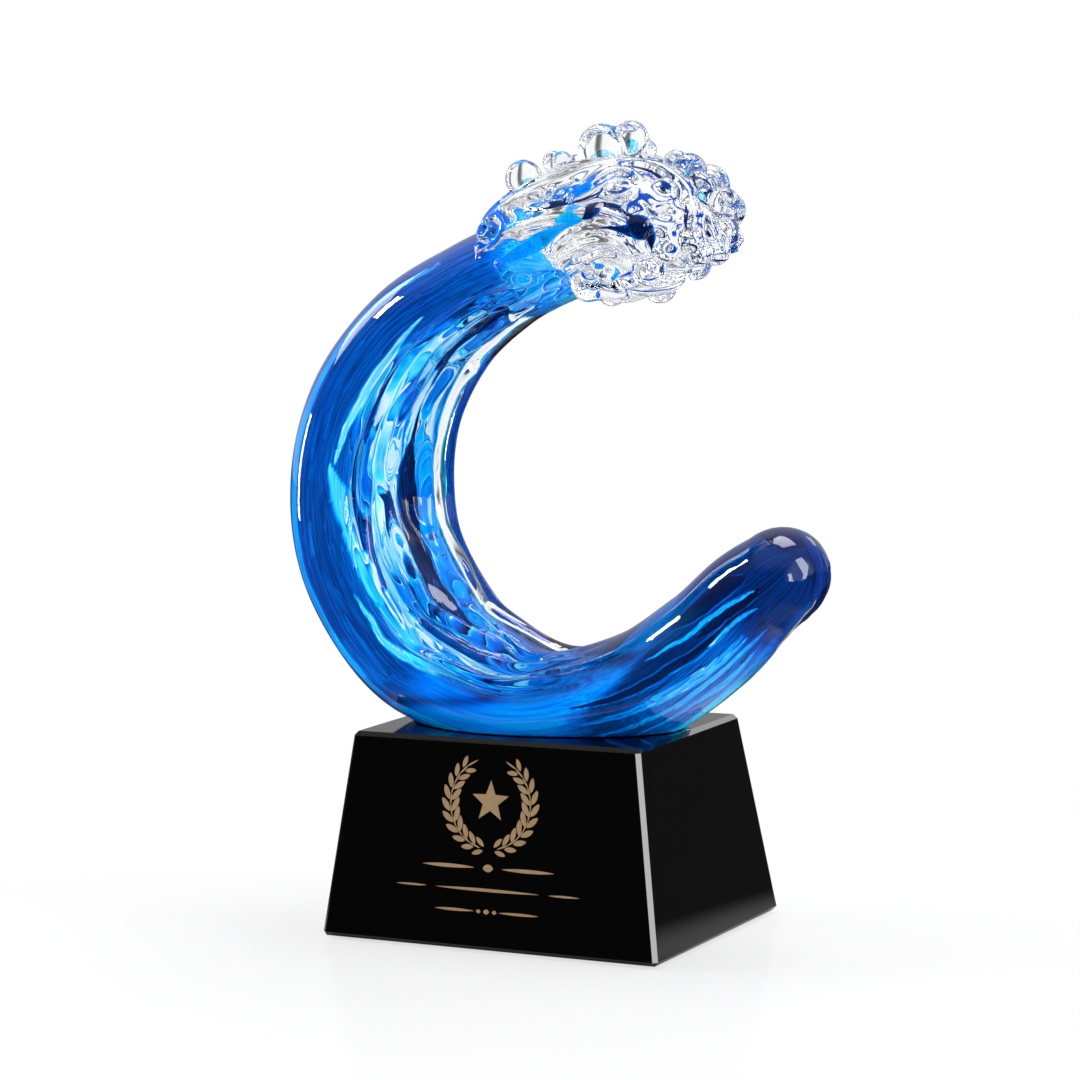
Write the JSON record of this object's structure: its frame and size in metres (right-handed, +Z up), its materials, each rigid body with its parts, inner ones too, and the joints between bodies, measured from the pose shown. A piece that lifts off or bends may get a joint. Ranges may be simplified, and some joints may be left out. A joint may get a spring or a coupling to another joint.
{
  "type": "glass award",
  "caption": "Hot-worked blue glass wave that curls over into a frothy clear crest, bonded on a tapered black crystal base.",
  "frame": {"origin": "centre of the base's underside", "axes": "+X to the right along the front, towards the tail's tip; +Y to the back; +Z up"},
  "size_m": [0.1708, 0.0822, 0.2365],
  "materials": {
    "casing_glass": "clear fire-polished glass",
    "cobalt_glass": "cobalt and azure glass, streaked",
    "crest_glass": "glass fading from azure to clear, drawn into folds",
    "foam_glass": "clear fire-polished beads",
    "bond_resin": "clear cured resin",
    "black_crystal": "polished black crystal",
    "black_felt": "thin black felt"
  },
  "bodies": {
    "root": {"base_pad": "black_felt", "base_block": "black_crystal", "adhesive_film": "bond_resin", "wave_casing": "casing_glass", "wave_core": "cobalt_glass", "crest_gather": "crest_glass", "crest_ridge_1": "crest_glass", "crest_ridge_2": "crest_glass", "crest_ridge_3": "crest_glass", "crest_ridge_4": "crest_glass", "crest_ridge_5": "crest_glass", "crest_curl_1": "crest_glass", "crest_curl_2": "crest_glass", "crest_curl_3": "crest_glass", "crest_curl_4": "crest_glass", "crest_curl_5": "crest_glass", "crest_curl_6": "crest_glass", "foam_bead_01": "foam_glass", "foam_bead_02": "foam_glass", "foam_bead_03": "foam_glass", "foam_bead_04": "foam_glass", "foam_bead_05": "foam_glass", "foam_bead_06": "foam_glass", "foam_bead_07": "foam_glass", "foam_bead_08": "foam_glass", "foam_bead_09": "foam_glass", "foam_bead_10": "foam_glass", "foam_bead_11": "foam_glass", "foam_bead_12": "foam_glass", "foam_bead_13": "foam_glass", "foam_bead_14": "foam_glass", "foam_bead_15": "foam_glass", "foam_bead_16": "foam_glass", "foam_bead_17": "foam_glass", "foam_bead_18": "foam_glass", "foam_bead_19": "foam_glass", "foam_bead_20": "foam_glass", "foam_bead_21": "foam_glass", "foam_bead_22": "foam_glass", "foam_bead_23": "foam_glass", "foam_bead_24": "foam_glass", "foam_bead_25": "foam_glass", "foam_bead_26": "foam_glass", "foam_bead_27": "foam_glass", "foam_bead_28": "foam_glass", "foam_bead_29": "foam_glass", "foam_bead_30": "foam_glass", "foam_bead_31": "foam_glass", "foam_bead_32": "foam_glass", "foam_bead_33": "foam_glass", "foam_bead_34": "foam_glass", "foam_bead_35": "foam_glass", "foam_bead_36": "foam_glass"}
  },
  "joints": []
}
